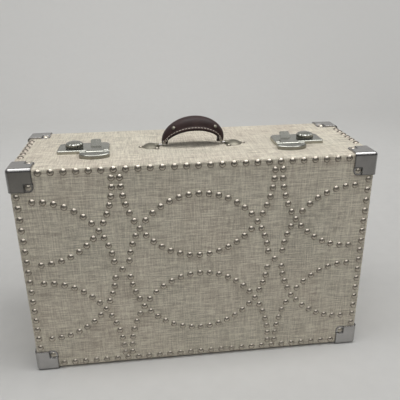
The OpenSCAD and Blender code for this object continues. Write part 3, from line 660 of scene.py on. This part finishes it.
def plywood_finish():
    """Sanded plywood: long grain, and plies that show on the cut edges."""
    finish = Finish("sanded plywood", roughness=0.62)
    across, along, face = cloth_places(finish)
    grain = slubs(finish, across, along, face, 0.12, 0.0022, seed=7.0)
    figure = slubs(finish, across, along, face, 0.3, 0.02, seed=41.0)
    shade = finish.spread(finish.total((figure, 0.45), (grain, 0.55)), 0.33, 0.67)
    finish.give("Base Color", finish.blend(shade, (0.40, 0.27, 0.155), (0.70, 0.54, 0.36)))
    finish.give("Normal", finish.bump(grain, 0.0002, strength=0.5))
    return finish.material


def plated_finish(name, color, roughness, radius, painted_rim_shade=None, knob=None, painted_lower_shade=None):
    """Bright plate with softened edges, faint smears and fine scratches.

    Where a colour is given for the rims, the free edges of the sheet round the case are painted
    darker to it, as painted shade.
    Where a colour is given for the lower sides of the domes on the front and the back, they are
    painted darker to it, as painted shade.
    Where a knob is named, its top gets pressed ribs.
    """
    finish = Finish(name, roughness, metallic=1.0)
    smear = finish.noise(finish.place, 60.0, detail=3.0, roughness=0.6)
    scratch_scales = (300.0, 900.0, 2600.0)
    stretched = (
        finish.math("MULTIPLY", side, scale)
        for side, scale in zip(finish.parts(finish.place), scratch_scales)
    )
    scratch = finish.noise(finish.vector(*stretched), 1.0)
    tone = finish.blend(finish.spread(smear, 0.35, 0.7), color, darker(color, 0.88))
    # Painted shade: the sheet's free and upright edges are darkened to the given colour.
    if painted_rim_shade is not None:
        tone = finish.blend(finish.rims(1.6 * radius, (0, 0, CASE_TOP / 2)), tone, painted_rim_shade)
    # Painted shade: the lower sides of the domes, facing out and down, are darkened to the given
    # colour.
    if painted_lower_shade is not None:
        _, out, up = finish.parts(finish.facing)
        side = finish.spread(finish.math("ABSOLUTE", out), 0.9, 0.6)
        tone = finish.blend(finish.math("MULTIPLY", side, finish.spread(up, 0.3, 0.0)), tone, painted_lower_shade)
    finish.give("Base Color", tone)
    wear = finish.math("MULTIPLY_ADD", scratch, 0.4, smear)
    finish.give("Roughness", finish.spread(wear, 0.4, 1.0, roughness * 0.7, roughness * 1.5))
    edges = finish.soft_edges(radius)
    if knob is not None:
        low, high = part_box(knob)
        ribs = finish.ribs((low + high) / 2, (high.x - low.x) / 2, KNOB_RIBS)
        edges = finish.bump(ribs, RIB_DEPTH, Normal=edges)
    finish.give("Normal", finish.bump(scratch, 0.00002, strength=0.35, Normal=edges))
    return finish.material


def leather_finish(name, color):
    """Waxed leather: pebbled grain, rubbed tones and a soft shine."""
    finish = Finish(name, roughness=0.5)
    finish.give("Specular IOR Level", 0.35)
    pebbles_per_metre = 900.0
    pebble = finish.add("ShaderNodeTexVoronoi", Vector=finish.place, Scale=pebbles_per_metre)
    pebble.feature = "DISTANCE_TO_EDGE"
    grain = finish.spread(pebble.outputs["Distance"], 0.0, 0.25)
    mottle = finish.noise(finish.place, 70.0, detail=4.0, roughness=0.6)
    deep = darker(color, 0.55)
    tone = finish.blend(finish.spread(mottle, 0.35, 0.7), deep, color)
    finish.give("Base Color", finish.blend(finish.spread(grain, 0.0, 1.0, 0.75, 1.0), deep, tone))
    finish.give("Roughness", finish.spread(mottle, 0.3, 0.7, 0.4, 0.58))
    finish.give("Normal", finish.bump(grain, 0.00012, strength=0.5))
    return finish.material


def thread_finish(color):
    """Waxed linen thread with its twist."""
    finish = Finish("waxed thread", roughness=0.6)
    x, y, z = finish.parts(finish.place)
    twist_rate = 9000.0
    slant = finish.math("ADD", x, finish.math("ADD", y, z))
    twist = finish.math("SINE", finish.math("MULTIPLY", slant, twist_rate))
    # Painted shade: the grooves of the twist are painted darker.
    shade = finish.spread(twist, -1.0, 1.0, 0.6, 1.0)
    finish.give("Base Color", finish.blend(shade, (0.16, 0.12, 0.09), color))
    return finish.material


def studio_finish(color, dim, room):
    """Matt paper with the faintest tooth, as pale far away as it is under the lamps.

    In glossy rays the floor is painted darker towards the camera and to the left, a painted
    reflection for bright metal. The lid is hinged along the bottom, so it swings below the floor when
    it opens, and the floor is clear where a piece lies under it.
    """
    lamps_end, horizon = 1.2, 3.0
    finish = Finish("studio paper", roughness=0.95)
    finish.give("Specular IOR Level", 0.1)
    tooth = finish.spread(finish.noise(finish.place, 40.0, detail=4.0), 0.3, 0.7)
    plain = finish.blend(tooth, darker(color, 0.97), color)
    x, y, _ = finish.parts(finish.place)
    near = finish.spread(y, -0.2, -0.9)
    left = finish.spread(x, 0.6, -0.6, 0.5, 1.0)
    ray = finish.nodes.new("ShaderNodeLightPath").outputs
    # Painted reflection: in glossy rays only, the floor near the camera and to the left is painted
    # darker.
    share = finish.math("MULTIPLY", finish.math("MULTIPLY", near, left), ray["Is Glossy Ray"])
    behind = finish.math("MULTIPLY", finish.math("SUBTRACT", 1.0, near), ray["Is Glossy Ray"])
    plainly = finish.math("MAXIMUM", ray["Is Camera Ray"], ray["Is Transmission Ray"])
    seen = finish.math("MAXIMUM", plainly, behind)
    far = finish.math("MULTIPLY", finish.spread(finish.distance(x, y), lamps_end, horizon), seen)
    finish.give("Base Color", finish.blend(far, finish.blend(share, plain, dim), (0, 0, 0)))
    finish.give("Emission Color", color)
    finish.give("Emission Strength", finish.math("MULTIPLY", far, room / max(color)))
    up = finish.vector(0.0, 0.0, 1.0)
    below = finish.add("ShaderNodeAmbientOcclusion", Distance=CLEAR_REACH, Normal=up)
    below.inside = True
    below.samples = 16
    flat = finish.spread(y, 1.0, 0.9)
    hidden = finish.math("MULTIPLY", finish.spread(below.outputs["AO"], 0.99, 0.92), flat)
    finish.give("Alpha", finish.math("SUBTRACT", 1.0, hidden))
    return finish.material


def nodes_ending(*endings):
    """Names of the CAD nodes that end in one of several words."""
    return [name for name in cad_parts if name.endswith(endings)]


def dress(names, material):
    """Gives CAD nodes one material in place of their plain one."""
    for name in names:
        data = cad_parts[name].data
        data.materials.clear()
        data.materials.append(material)


# Operators, one for each piece or group of like pieces


class SUITCASE_OT_linen(bpy.types.Operator):
    """Cover both shells with slubby linen"""

    bl_idname = "suitcase.linen"
    bl_label = "Linen covers"

    def execute(self, context):
        dress(("body_linen", "lid_linen"), linen_finish(context.scene.suitcase_linen))
        return {"FINISHED"}


class SUITCASE_OT_lining(bpy.types.Operator):
    """Line both shells with cream cotton"""

    bl_idname = "suitcase.lining"
    bl_label = "Cotton lining"

    def execute(self, context):
        dress(("body_lining", "lid_lining"), lining_finish())
        return {"FINISHED"}


class SUITCASE_OT_boards(bpy.types.Operator):
    """Finish the plywood boards and the strips that guide the lid"""

    bl_idname = "suitcase.boards"
    bl_label = "Plywood boards"

    def execute(self, context):
        dress(nodes_ending("board", "boards", "closing_lip"), plywood_finish())
        return {"FINISHED"}


class SUITCASE_OT_nickel(bpy.types.Operator):
    """Plate the nailheads, rivets and pins with nickel"""

    bl_idname = "suitcase.nickel"
    bl_label = "Nickel nailheads and rivets"

    def execute(self, context):
        metals = context.scene.suitcase_metal
        radius = metals.edge_radius / 2
        worn = plated_finish("worn nickel", metals.nickel, 0.25, radius)
        dress(nodes_ending("rivets", "pins"), worn)
        # Painted shade: the lower sides of the upright nailheads are darkened to this colour.
        painted_lower_shade = darker(metals.tarnish, 0.65)
        upright = ("front_border_studs", "front_ring_studs", "back_studs")
        dress(upright, plated_finish("nailhead nickel", metals.nickel, 0.25, radius, painted_lower_shade=painted_lower_shade))
        dress(("body_top_studs",), plated_finish("tarnished nickel", metals.tarnish, 0.3, radius))
        return {"FINISHED"}


class SUITCASE_OT_chrome(bpy.types.Operator):
    """Plate the corner caps, latches, hinges and handle plates with chrome"""

    bl_idname = "suitcase.chrome"
    bl_label = "Chrome hardware"

    def execute(self, context):
        metals = context.scene.suitcase_metal
        radius = metals.edge_radius
        # Painted shade along the edges of the corner caps' sheet
        painted_rim_shade = darker(metals.chrome, 0.3)
        # Painted shade: the hasp bases get a darker copy of the latch chrome.
        base = darker(metals.latch, 0.72)
        finishes = (
            (("leaves", "loops"), plated_finish("bright chrome", metals.chrome, 0.19, radius)),
            (("casing", "hasp"), plated_finish("latch chrome", metals.latch, 0.2, radius)),
            (("hasp_base",), plated_finish("base chrome", base, 0.2, radius)),
            (("handle_plate",), plated_finish("aged plate", metals.aged, 0.48, radius)),
            (("caps",), plated_finish("pressed chrome", metals.chrome, 0.17, 2.5 * radius, painted_rim_shade=painted_rim_shade)),
        )
        for endings, material in finishes:
            dress(nodes_ending(*endings), material)
        for side in ("left", "right"):
            knob = f"{side}_knob"
            ribbed = plated_finish(f"{side} knob chrome", metals.latch, 0.16, radius, knob=knob)
            dress((knob,), ribbed)
        return {"FINISHED"}


class SUITCASE_OT_steel(bpy.types.Operator):
    """Finish the steel parts that work inside the latches"""

    bl_idname = "suitcase.steel"
    bl_label = "Steel latch parts"

    def execute(self, context):
        metals = context.scene.suitcase_metal
        material = plated_finish("plain steel", metals.steel, 0.32, metals.edge_radius / 2)
        dress(nodes_ending("cam", "bolt", "base_plates"), material)
        return {"FINISHED"}


class SUITCASE_OT_handle_top(bpy.types.Operator):
    """Model the padded leather top of the handle, with flat stitched edges"""

    bl_idname = "suitcase.handle_top"
    bl_label = "Handle top"

    def execute(self, context):
        settings = context.scene.suitcase_handle
        points = 24
        step = 2 * math.pi / points
        close = 0.01
        top = add_profile(points)
        pick(lambda place: place.z < -close)
        bpy.ops.transform.resize(value=(1, 1, 0), center_override=(0, 0, 0))
        # Points up the profile from either edge: how far across and how high each of them goes
        edge_shape = ((1, 1.0, 0.13), (2, 0.80, 0.15), (3, 0.75, 0.42), (4, 0.58, 0.78))
        for index, across, height in edge_shape:
            y, z = math.cos(index * step), math.sin(index * step)
            pick(lambda place: abs(abs(place.y) - y) < close and abs(place.z - z) < close)
            bpy.ops.transform.resize(value=(1, across / y, height / z), center_override=(0, 0, 0))

        def sizes(angle):
            return leather_half(settings, angle), leather_padding(settings, angle)

        sweep_along_arch(settings, sizes)
        round_off(top)
        leather = leather_finish("burgundy leather", settings.leather)
        finish_piece(top, "leather_handle_top", "handle", leather)
        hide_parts("handle_grip")
        return {"FINISHED"}


class SUITCASE_OT_handle_strap(bpy.types.Operator):
    """Model the strap on the underside of the handle"""

    bl_idname = "suitcase.handle_strap"
    bl_label = "Handle strap"

    def execute(self, context):
        settings = context.scene.suitcase_handle
        flat_from, flat_width, strap_share = 0.3, 1.12, 0.93
        strap = add_profile(16)
        # Both faces are flattened, and the upper one is put on the arch
        for side in (-1, 1):
            pick(lambda place: side * place.z > flat_from)
            bpy.ops.transform.resize(value=(1, flat_width, 0), center_override=(0, 0, side))
        bpy.ops.mesh.select_all(action="SELECT")
        bpy.ops.transform.translate(value=(0, 0, -1))

        def sizes(angle):
            return strap_share * leather_half(settings, angle), settings.strap_thickness / 2

        sweep_along_arch(settings, sizes)
        round_off(strap)
        # Painted shade: the strap on the underside gets a darker copy of the handle leather.
        leather = leather_finish("dark strap leather", darker(settings.leather, 0.6))
        finish_piece(strap, "leather_handle_strap", "handle", leather)
        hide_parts("handle_strap")
        return {"FINISHED"}


class SUITCASE_OT_handle_ends(bpy.types.Operator):
    """Model the short leather tabs that hold the wire loops at both ends of the handle"""

    bl_idname = "suitcase.handle_ends"
    bl_label = "Handle end tabs"

    def execute(self, context):
        settings = context.scene.suitcase_handle
        start, reach = settings.start, settings.tab_angle
        flat_from, flat_width, flat_height = 0.3, 1.1, 0.9
        tab_share = 0.9
        least = 0.4 * settings.strap_thickness

        def sizes(angle):
            share = 1 - (min(angle, math.pi - angle) - start) / (reach - start)
            height = least + settings.tab_thickness * math.sqrt(max(share, 0.0))
            return tab_share * leather_half(settings, angle), height / 2

        tabs = []
        for first, last in both_ends(start, reach):
            tab = add_profile(16)
            # Both faces are pressed a little flatter, and the upper one is put on the arch
            pick(lambda place: abs(place.z) > flat_from)
            bpy.ops.transform.resize(value=(1, flat_width, flat_height), center_override=(0, 0, 0))
            bpy.ops.mesh.select_all(action="SELECT")
            bpy.ops.transform.translate(value=(0, 0, -1))
            sweep_along_arch(settings, sizes, first, last)
            round_off(tab)
            tabs.append(tab)
        # Painted shade: the end tabs at the handle's feet get a darker copy of the handle leather.
        leather = leather_finish("tab leather", darker(settings.leather, 0.45))
        finish_piece(join(tabs), "leather_end_tabs", "handle", leather)
        return {"FINISHED"}


class SUITCASE_OT_loop_sides(bpy.types.Operator):
    """Model the chrome wire that shows on the flanks of the leather at both ends"""

    bl_idname = "suitcase.loop_sides"
    bl_label = "Wire at the handle's ends"

    def execute(self, context):
        settings = context.scene.suitcase_handle
        wires = []
        for first, last in both_ends(settings.start, settings.tab_angle):
            for side in (-1, 1):
                foot = along_edge(settings, first, side, share=0.8, lift=0.0)
                head = along_edge(settings, last, side, share=1.0, lift=0.0)
                along = head - foot
                wire = add_rod(along.length, settings.wire_radius, segments=16, rings=10)
                aim(wire, (foot + head) / 2, along)
                wires.append(wire)
        metals = context.scene.suitcase_metal
        chrome = plated_finish("wire chrome", metals.chrome, 0.25, metals.edge_radius / 2)
        finish_piece(join(wires), "handle_loop_sides", "handle", chrome)
        return {"FINISHED"}


class SUITCASE_OT_handle_stitches(bpy.types.Operator):
    """Sew two rows of waxed thread along the margins of the handle"""

    bl_idname = "suitcase.handle_stitches"
    bl_label = "Handle stitches"

    def execute(self, context):
        settings = context.scene.suitcase_handle
        pattern = add_rod(settings.stitch_length, settings.stitch_radius, segments=8, rings=6)
        stitches = []
        fewest = 20
        nudge = 0.02
        for side in (-1, 1):
            for angle in stitch_angles(settings, side):
                single_out(pattern)
                bpy.ops.object.duplicate()
                stitch = bpy.context.selected_objects[0]
                before = along_edge(settings, angle - nudge, side)
                after = along_edge(settings, angle + nudge, side)
                aim(stitch, along_edge(settings, angle, side), after - before)
                stitches.append(stitch)
        if len(stitches) < fewest:
            raise RuntimeError("Too few stitches fit on the handle")
        bpy.data.objects.remove(pattern)
        thread = thread_finish(settings.thread)
        finish_piece(join(stitches), "handle_stitches", "handle", thread)
        return {"FINISHED"}


class SUITCASE_OT_handle_rivets(bpy.types.Operator):
    """Set two small domed rivets in the leather near each end of the padding"""

    bl_idname = "suitcase.handle_rivets"
    bl_label = "Handle rivets"

    def execute(self, context):
        settings = context.scene.suitcase_handle
        dome_height, back_height = 0.5, 0.25
        off_middle = 0.0001
        upward, outward = 0.70, 0.71
        rivets = []
        for angle in (settings.rivet_angle, math.pi - settings.rivet_angle):
            for side in (-1, 1):
                bpy.ops.mesh.primitive_uv_sphere_add(
                    segments=24, ring_count=12, radius=settings.rivet_radius
                )
                rivet = bpy.context.active_object
                edit(rivet)
                for end, height in ((1, dome_height), (-1, back_height)):
                    pick(lambda place: end * place.z > off_middle)
                    bpy.ops.transform.resize(value=(1, 1, height), center_override=(0, 0, 0))
                leave_edit()
                slope = arch_outward(settings, angle) * upward + Vector((0, side * outward, 0))
                aim(rivet, along_edge(settings, angle, side, share=0.66, lift=0.62), slope)
                rivets.append(rivet)
        metals = context.scene.suitcase_metal
        nickel = plated_finish("handle nickel", metals.aged, 0.42, metals.edge_radius / 2)
        finish_piece(join(rivets), "handle_rivets", "handle", nickel)
        return {"FINISHED"}


class SUITCASE_OT_stage(bpy.types.Operator):
    """Set up the floor, the backdrop, the soft light and the camera"""

    bl_idname = "suitcase.stage"
    bl_label = "Studio"

    def execute(self, context):
        settings = context.scene.suitcase_studio
        self.add_paper(settings)
        self.add_softbox("key", *KEY_LAMP, settings.key)
        self.add_softbox("overhead", *OVERHEAD_LAMP, settings.overhead)
        self.add_softbox("wall", *WALL_LAMP, settings.wall)
        context.scene.world = self.room_world(settings)
        self.add_camera(context, settings)
        context.scene.view_settings.view_transform = "Standard"
        return {"FINISHED"}

    def add_paper(self, settings):
        """A floor that rises in a wide curve into a backdrop. It casts no shadow on the open lid."""
        depth = FLOOR_FRONT + FLOOR_BACK
        middle = (FLOOR_BACK - FLOOR_FRONT) / 2
        bpy.ops.mesh.primitive_plane_add(size=1, location=(0, 0, 0))
        paper = bpy.context.active_object
        edit(paper)
        bpy.ops.transform.resize(value=(2 * FLOOR_FRONT, depth, 1), center_override=(0, 0, 0))
        bpy.ops.transform.translate(value=(0, middle, 0))
        pick(lambda place: place.y > middle)
        for _ in range(BEND_STEPS):
            bpy.ops.mesh.extrude_region_move()
            bpy.ops.transform.rotate(
                value=-math.pi / 2 / BEND_STEPS,
                orient_axis="X",
                center_override=(0, FLOOR_BACK, BEND_RADIUS),
            )
        bpy.ops.mesh.extrude_region_move()
        bpy.ops.transform.translate(value=(0, 0, WALL_HEIGHT))
        leave_edit()
        bpy.ops.object.shade_smooth()
        paper.name = "studio_paper"
        surface = studio_finish(settings.backdrop, settings.painted_reflection_dim, settings.room)
        paper.data.materials.append(surface)
        paper.visible_shadow = False
        deselect_all()

    def add_softbox(self, name, place, target, size, power):
        """A rectangular lamp that faces a point."""
        bpy.ops.object.light_add(type="AREA", location=place)
        lamp = bpy.context.active_object
        lamp.name = name
        lamp.rotation_euler = (Vector(target) - lamp.location).to_track_quat("-Z", "Y").to_euler()
        lamp.data.shape = "RECTANGLE"
        lamp.data.size, lamp.data.size_y = size
        lamp.data.energy = power
        deselect_all()

    def room_world(self, settings):
        """Light from all round: faint on the suitcase, pale where it is seen or mirrored."""
        world = bpy.data.worlds.new("studio")
        world.use_nodes = True
        tree = NodeTree(world.node_tree)
        ray = tree.nodes.new("ShaderNodeLightPath").outputs
        way = tree.parts(tree.nodes.new("ShaderNodeTexCoord").outputs["Generated"])
        mirrored = tree.math("MULTIPLY", ray["Is Glossy Ray"], tree.spread(way[1], -0.1, 0.3))
        plainly = tree.math("MAXIMUM", ray["Is Camera Ray"], ray["Is Transmission Ray"])
        seen = tree.math("MAXIMUM", plainly, mirrored)
        background = tree.nodes["Background"].inputs
        tree.put(background["Color"], (1, 1, 1))
        tree.put(background["Strength"], tree.spread(seen, 0.0, 1.0, settings.fill, settings.room))
        return world

    def add_camera(self, context, settings):
        """The photograph's own view."""
        bpy.ops.object.camera_add(location=settings.camera_place)
        camera = bpy.context.active_object
        heading = Euler((math.pi / 2 - settings.camera_tilt, 0, settings.camera_turn)).to_matrix()
        roll = Matrix.Rotation(settings.camera_roll, 3, "Z")
        camera.rotation_euler = (heading @ roll).to_euler()
        camera.data.lens = settings.lens
        camera.data.sensor_width = 36.0
        context.scene.camera = camera
        deselect_all()


PIECES = (
    SUITCASE_OT_linen,
    SUITCASE_OT_lining,
    SUITCASE_OT_boards,
    SUITCASE_OT_nickel,
    SUITCASE_OT_chrome,
    SUITCASE_OT_steel,
    SUITCASE_OT_handle_top,
    SUITCASE_OT_handle_strap,
    SUITCASE_OT_handle_ends,
    SUITCASE_OT_loop_sides,
    SUITCASE_OT_handle_stitches,
    SUITCASE_OT_handle_rivets,
    SUITCASE_OT_stage,
)


class SUITCASE_PT_panel(bpy.types.Panel):
    """Lists the suitcase's pieces in the sidebar"""

    bl_idname = "SUITCASE_PT_panel"
    bl_label = "Suitcase"
    bl_space_type = "VIEW_3D"
    bl_region_type = "UI"
    bl_category = "Suitcase"

    def draw(self, context):
        for piece in PIECES:
            self.layout.operator(piece.bl_idname)


SETTINGS = {
    "suitcase_linen": LinenSettings,
    "suitcase_metal": MetalSettings,
    "suitcase_handle": HandleSettings,
    "suitcase_studio": StudioSettings,
}


def register():
    """Makes the settings, operators and panel known to Blender."""
    for cls in (*SETTINGS.values(), *PIECES, SUITCASE_PT_panel):
        bpy.utils.register_class(cls)
    for name, cls in SETTINGS.items():
        setattr(bpy.types.Scene, name, PointerProperty(type=cls))


def unregister():
    """Takes them out again, in the opposite order."""
    for name in SETTINGS:
        delattr(bpy.types.Scene, name)
    for cls in (SUITCASE_PT_panel, *reversed(PIECES), *reversed(SETTINGS.values())):
        bpy.utils.unregister_class(cls)


def main():
    register()
    deselect_all()
    bpy.ops.suitcase.linen()
    bpy.ops.suitcase.lining()
    bpy.ops.suitcase.boards()
    bpy.ops.suitcase.nickel()
    bpy.ops.suitcase.chrome()
    bpy.ops.suitcase.steel()
    bpy.ops.suitcase.handle_top()
    bpy.ops.suitcase.handle_strap()
    bpy.ops.suitcase.handle_ends()
    bpy.ops.suitcase.loop_sides()
    bpy.ops.suitcase.handle_stitches()
    bpy.ops.suitcase.handle_rivets()
    bpy.ops.suitcase.stage()
    bpy.context.view_layer.update()


if __name__ == "__main__":
    main()
